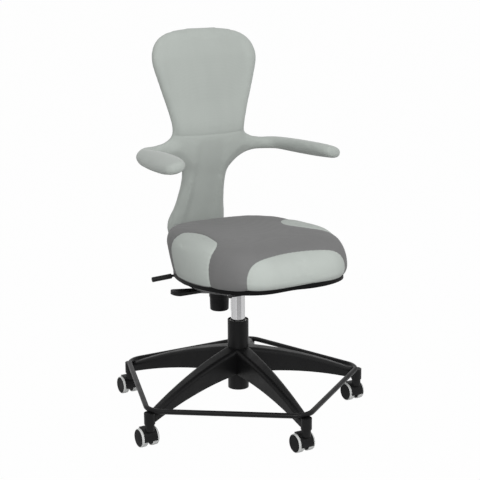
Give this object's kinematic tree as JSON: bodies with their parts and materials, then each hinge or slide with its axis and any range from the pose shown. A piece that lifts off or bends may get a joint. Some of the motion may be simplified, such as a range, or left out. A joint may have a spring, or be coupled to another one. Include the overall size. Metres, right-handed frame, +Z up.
{
  "type": "drafting chair",
  "caption": "Drafting chair on a caster base with foot ring and gas lift, with a reclining back that flares into wraparound arms.",
  "frame": {"origin": "on the floor, on the axis of the column", "axes": "+Z up, the sitter faces -Y, +X is on the sitter's left"},
  "size_m": [0.7072, 0.6826, 1.055],
  "materials": {
    "black_nylon": "fine matt mould texture",
    "black_plastic": "satin",
    "black_paint": "satin black powder coat",
    "black_rubber": "matt",
    "grey_tread": "soft pale grey tread",
    "pale_plastic": "smooth",
    "chrome": "polished",
    "steel": "bright",
    "plywood": "bare",
    "mid_grey_fabric": "smooth upholstery, light grey side panels",
    "light_grey_fabric": "smooth upholstery"
  },
  "bodies": {
    "base": {"base_casting": "black_nylon", "foot_ring": "black_paint", "ring_studs": "steel", "stand_tube": "black_paint", "guide_bush": "pale_plastic", "thrust_bearing": "steel"},
    "rod": {"piston_rod": "steel", "retaining_clip": "steel"},
    "lift": {"pressure_tube": "chrome", "rod_gland": "steel", "lift_collar": "black_nylon", "mechanism_housing": "black_paint", "pivot_pins": "steel", "lever_pin": "steel", "tension_spring": "steel"},
    "release": {"release_pin": "steel"},
    "lever": {"height_lever": "black_plastic"},
    "knob": {"tension_knob": "black_plastic"},
    "seat": {"seat_plate": "black_paint", "seat_pan": "black_plastic", "seat_board": "plywood", "seat_cushion": "mid_grey_fabric", "seat_bolts": "steel", "tilt_pin": "steel"},
    "tilt": {"tilt_lever": "black_paint", "tilt_grip": "black_rubber"},
    "back": {"back_bar": "black_paint", "back_frame": "black_paint", "back_cushion": "light_grey_fabric", "back_bolts": "steel"},
    "caster_1": {"caster_1_hood": "black_nylon", "caster_1_pins": "steel"},
    "caster_1_left": {"caster_1_wheel_left": "black_nylon", "caster_1_tread_left": "grey_tread"},
    "caster_1_right": {"caster_1_wheel_right": "black_nylon", "caster_1_tread_right": "grey_tread"},
    "caster_2": {"caster_2_hood": "black_nylon", "caster_2_pins": "steel"},
    "caster_2_left": {"caster_2_wheel_left": "black_nylon", "caster_2_tread_left": "grey_tread"},
    "caster_2_right": {"caster_2_wheel_right": "black_nylon", "caster_2_tread_right": "grey_tread"},
    "caster_3": {"caster_3_hood": "black_nylon", "caster_3_pins": "steel"},
    "caster_3_left": {"caster_3_wheel_left": "black_nylon", "caster_3_tread_left": "grey_tread"},
    "caster_3_right": {"caster_3_wheel_right": "black_nylon", "caster_3_tread_right": "grey_tread"},
    "caster_4": {"caster_4_hood": "black_nylon", "caster_4_pins": "steel"},
    "caster_4_left": {"caster_4_wheel_left": "black_nylon", "caster_4_tread_left": "grey_tread"},
    "caster_4_right": {"caster_4_wheel_right": "black_nylon", "caster_4_tread_right": "grey_tread"},
    "caster_5": {"caster_5_hood": "black_nylon", "caster_5_pins": "steel"},
    "caster_5_left": {"caster_5_wheel_left": "black_nylon", "caster_5_tread_left": "grey_tread"},
    "caster_5_right": {"caster_5_wheel_right": "black_nylon", "caster_5_tread_right": "grey_tread"}
  },
  "joints": [
    {"name": "seat_swivel", "type": "hinge", "parent": "base", "child": "rod", "pos_m": [0, 0, 0.2], "axis": [0, 0, 1], "continuous": true},
    {"name": "seat_height", "type": "slide", "parent": "rod", "child": "lift", "axis": [0, 0, 1], "range_m": [-0.05, 0.08]},
    {"name": "height_lever_lift", "type": "hinge", "parent": "lift", "child": "lever", "pos_m": [-0.036, -0.00315, 0.3653], "axis": [0, 1, 0], "range_deg": [0, 4], "stiffness_Nm_per_rad": 2, "springref_deg": -6.88},
    {"name": "release_valve", "type": "slide", "parent": "lift", "child": "release", "axis": [0, 0, -1], "range_m": [0, 0.003]},
    {"name": "back_recline", "type": "hinge", "parent": "lift", "child": "back", "pos_m": [0, 0.035, 0.36], "axis": [-1, 0, 0], "range_deg": [0, 15], "stiffness_Nm_per_rad": 60, "springref_deg": -17.19, "deforming": ["tension_spring"]},
    {"name": "seat_tilt", "type": "hinge", "parent": "lift", "child": "seat", "pos_m": [0, -0.06, 0.366], "axis": [-1, 0, 0], "range_deg": [0, 5.25]},
    {"name": "tilt_lock", "type": "hinge", "parent": "seat", "child": "tilt", "pos_m": [-0.078, 0.092, 0.366], "axis": [0, -1, 0], "range_deg": [0, 8]},
    {"name": "tension_knob_turn", "type": "hinge", "parent": "lift", "child": "knob", "pos_m": [0, 0.105, 0.3], "axis": [0, 0, 1], "range_deg": [-360, 360]},
    {"name": "caster_1_swivel", "type": "hinge", "parent": "base", "child": "caster_1", "pos_m": [0, -0.345, 0.06], "axis": [0, 0, 1], "continuous": true},
    {"name": "caster_1_left_spin", "type": "hinge", "parent": "caster_1", "child": "caster_1_left", "pos_m": [0, -0.326, 0.025], "axis": [1, 0, 0], "continuous": true},
    {"name": "caster_1_right_spin", "type": "hinge", "parent": "caster_1", "child": "caster_1_right", "pos_m": [0, -0.326, 0.025], "axis": [1, 0, 0], "continuous": true},
    {"name": "caster_2_swivel", "type": "hinge", "parent": "base", "child": "caster_2", "pos_m": [0.32811, -0.10661, 0.06], "axis": [0, 0, 1], "continuous": true},
    {"name": "caster_2_left_spin", "type": "hinge", "parent": "caster_2", "child": "caster_2_left", "pos_m": [0.32811, -0.08761, 0.025], "axis": [1, 0, 0], "continuous": true},
    {"name": "caster_2_right_spin", "type": "hinge", "parent": "caster_2", "child": "caster_2_right", "pos_m": [0.32811, -0.08761, 0.025], "axis": [1, 0, 0], "continuous": true},
    {"name": "caster_3_swivel", "type": "hinge", "parent": "base", "child": "caster_3", "pos_m": [0.20279, 0.27911, 0.06], "axis": [0, 0, 1], "continuous": true},
    {"name": "caster_3_left_spin", "type": "hinge", "parent": "caster_3", "child": "caster_3_left", "pos_m": [0.20279, 0.29811, 0.025], "axis": [1, 0, 0], "continuous": true},
    {"name": "caster_3_right_spin", "type": "hinge", "parent": "caster_3", "child": "caster_3_right", "pos_m": [0.20279, 0.29811, 0.025], "axis": [1, 0, 0], "continuous": true},
    {"name": "caster_4_swivel", "type": "hinge", "parent": "base", "child": "caster_4", "pos_m": [-0.20279, 0.27911, 0.06], "axis": [0, 0, 1], "continuous": true},
    {"name": "caster_4_left_spin", "type": "hinge", "parent": "caster_4", "child": "caster_4_left", "pos_m": [-0.20279, 0.29811, 0.025], "axis": [1, 0, 0], "continuous": true},
    {"name": "caster_4_right_spin", "type": "hinge", "parent": "caster_4", "child": "caster_4_right", "pos_m": [-0.20279, 0.29811, 0.025], "axis": [1, 0, 0], "continuous": true},
    {"name": "caster_5_swivel", "type": "hinge", "parent": "base", "child": "caster_5", "pos_m": [-0.32811, -0.10661, 0.06], "axis": [0, 0, 1], "continuous": true},
    {"name": "caster_5_left_spin", "type": "hinge", "parent": "caster_5", "child": "caster_5_left", "pos_m": [-0.32811, -0.08761, 0.025], "axis": [1, 0, 0], "continuous": true},
    {"name": "caster_5_right_spin", "type": "hinge", "parent": "caster_5", "child": "caster_5_right", "pos_m": [-0.32811, -0.08761, 0.025], "axis": [1, 0, 0], "continuous": true}
  ],
  "couplings": [
    {"joint": "release_valve", "follows": "height_lever_lift", "m_per_rad": 0.042},
    {"joint": "seat_tilt", "follows": "back_recline", "ratio": 0.35}
  ]
}
